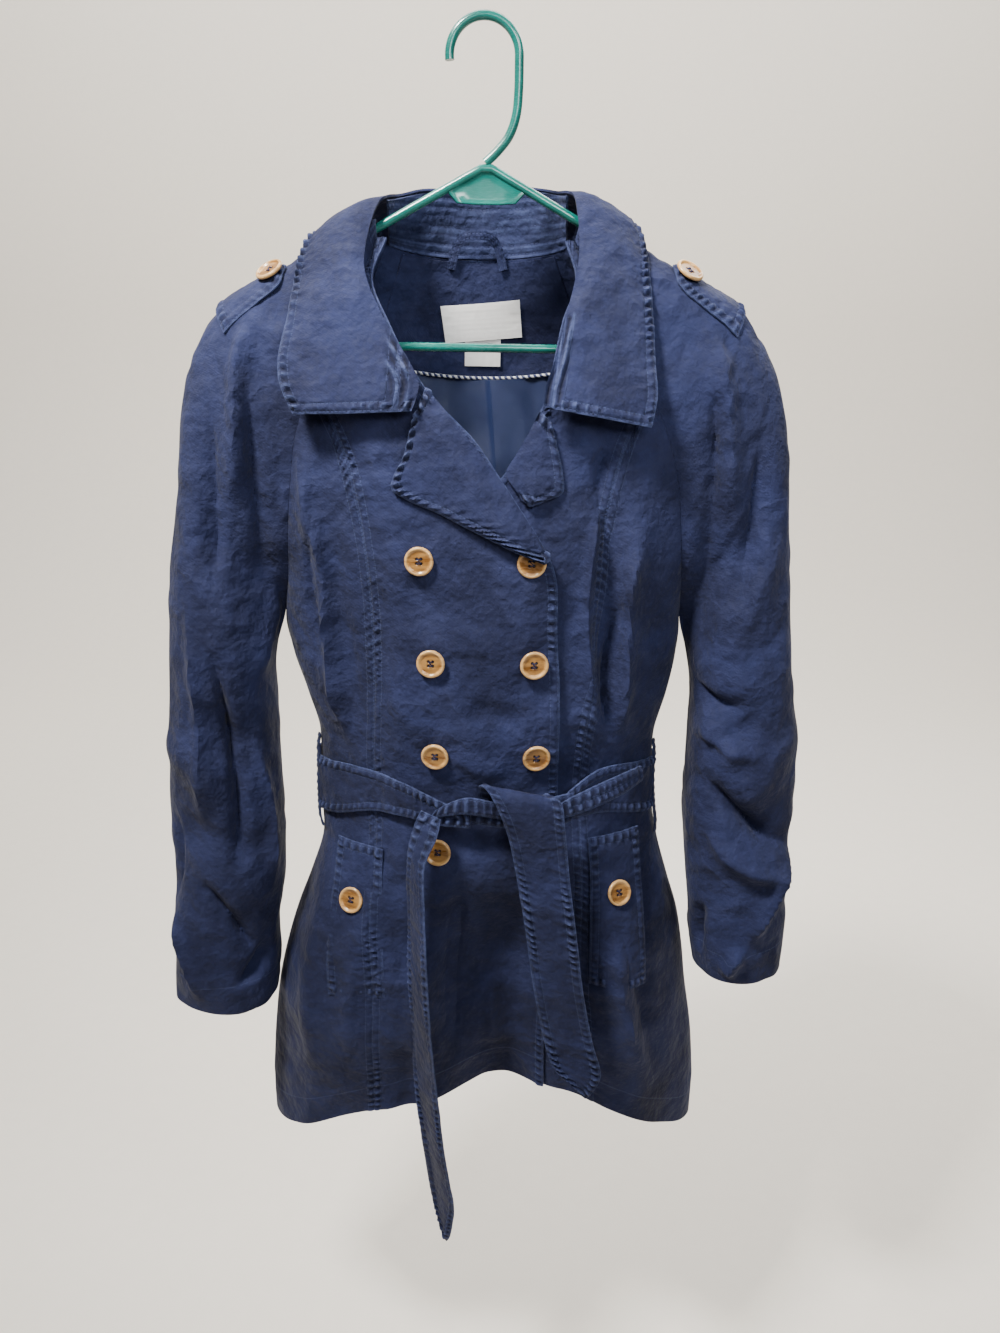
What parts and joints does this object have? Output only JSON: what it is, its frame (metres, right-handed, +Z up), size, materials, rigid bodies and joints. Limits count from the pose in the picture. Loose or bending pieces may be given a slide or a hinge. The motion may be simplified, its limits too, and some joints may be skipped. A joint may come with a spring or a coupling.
{
  "type": "trench coat on hanger",
  "caption": "Short double-breasted trench coat with raglan sleeves, epaulettes and a loosely knotted tie belt, hanging on a moulded hanger.",
  "frame": {"origin": "inner top of the hanger's hook, in the hanger's plane, where a rail of any size first touches it", "axes": "+Z up, the coat's front faces -Y, the wearer's left side is at +X"},
  "size_m": [0.569, 0.2362, 1.0689],
  "materials": {
    "navy_cotton": "washed cotton twill, dull, paler along its seams",
    "lining_satin": "satin",
    "label_tape": "woven tape, bare",
    "piping_cord": "twisted cord of pale and navy yarn",
    "button_horn": "polished horn look",
    "hanger_plastic": "glossy moulding"
  },
  "bodies": {
    "root": {"back_left": "navy_cotton", "back_neck_facing": "navy_cotton", "back_right": "navy_cotton", "belt_back": "navy_cotton", "belt_front_left": "navy_cotton", "belt_front_right": "navy_cotton", "belt_knot": "navy_cotton", "belt_loop_left": "navy_cotton", "belt_loop_right": "navy_cotton", "belt_tail_narrow": "navy_cotton", "belt_tail_wide": "navy_cotton", "button_epaulette_left": "button_horn", "button_epaulette_right": "button_horn", "button_front_1_left": "button_horn", "button_front_1_right": "button_horn", "button_front_2_left": "button_horn", "button_front_2_right": "button_horn", "button_front_3_left": "button_horn", "button_front_3_right": "button_horn", "button_front_4_left": "button_horn", "button_front_4_right": "button_horn", "button_pocket_left": "button_horn", "button_pocket_right": "button_horn", "care_tag": "label_tape", "collar_fall": "navy_cotton", "collar_stand": "navy_cotton", "epaulette_left": "navy_cotton", "epaulette_right": "navy_cotton", "facing_piping": "piping_cord", "front_left": "navy_cotton", "front_right": "navy_cotton", "hanger": "hanger_plastic", "hanging_loop": "navy_cotton", "lapel_left": "navy_cotton", "lapel_right": "navy_cotton", "lining_back": "lining_satin", "neck_label": "label_tape", "pocket_welt_left": "navy_cotton", "pocket_welt_right": "navy_cotton", "side_front_left": "navy_cotton", "side_front_right": "navy_cotton", "sleeve_back_left": "navy_cotton", "sleeve_back_right": "navy_cotton", "sleeve_front_left": "navy_cotton", "sleeve_front_right": "navy_cotton"}
  },
  "joints": []
}
